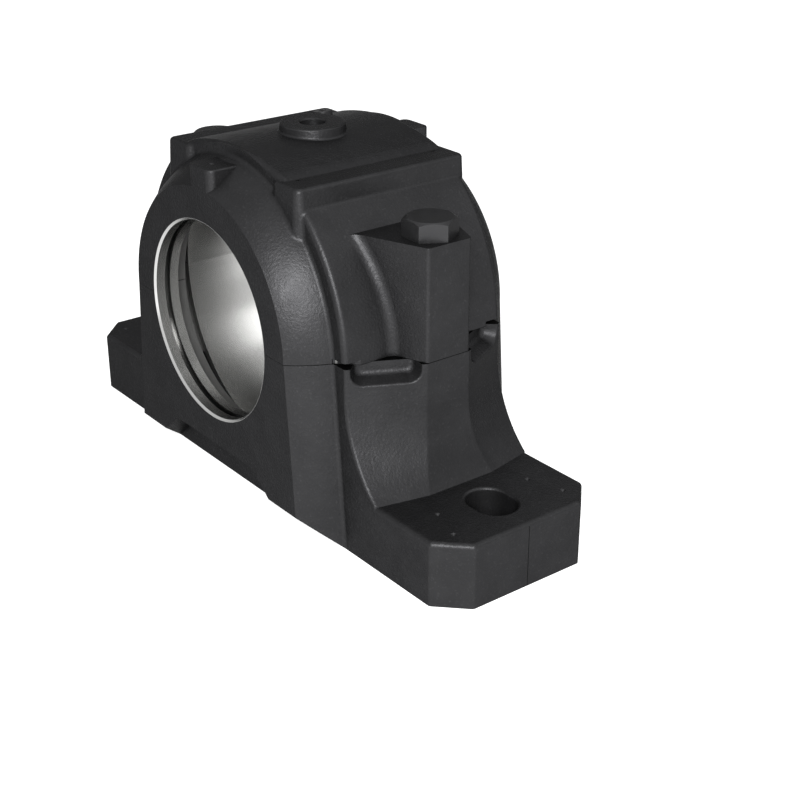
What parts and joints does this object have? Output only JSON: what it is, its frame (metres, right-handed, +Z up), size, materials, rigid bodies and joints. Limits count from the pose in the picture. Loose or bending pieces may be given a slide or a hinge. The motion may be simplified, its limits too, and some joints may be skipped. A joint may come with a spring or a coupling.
{
  "type": "split plummer block housing",
  "caption": "Split plummer block housing in cast iron: footed base and arched cap, bolted together round an open bearing seat, with slotted feet and a grease hole.",
  "frame": {"origin": "middle of the base's underside, below the bore", "axes": "+X from the middle towards one foot, +Y along the bore towards the back, +Z up"},
  "size_m": [0.345, 0.1374, 0.1918],
  "materials": {
    "casting": "dark painted sand casting with bright machined bore lands, bearing seat and joint faces",
    "fastener": "satin black steel",
    "pin_steel": "ground steel"
  },
  "bodies": {
    "root": {"housing_base": "casting", "housing_cap": "casting", "cap_bolt_right": "fastener", "cap_bolt_left": "fastener", "locating_pin_front": "pin_steel", "locating_pin_rear": "pin_steel", "grease_plug": "fastener"}
  },
  "joints": []
}
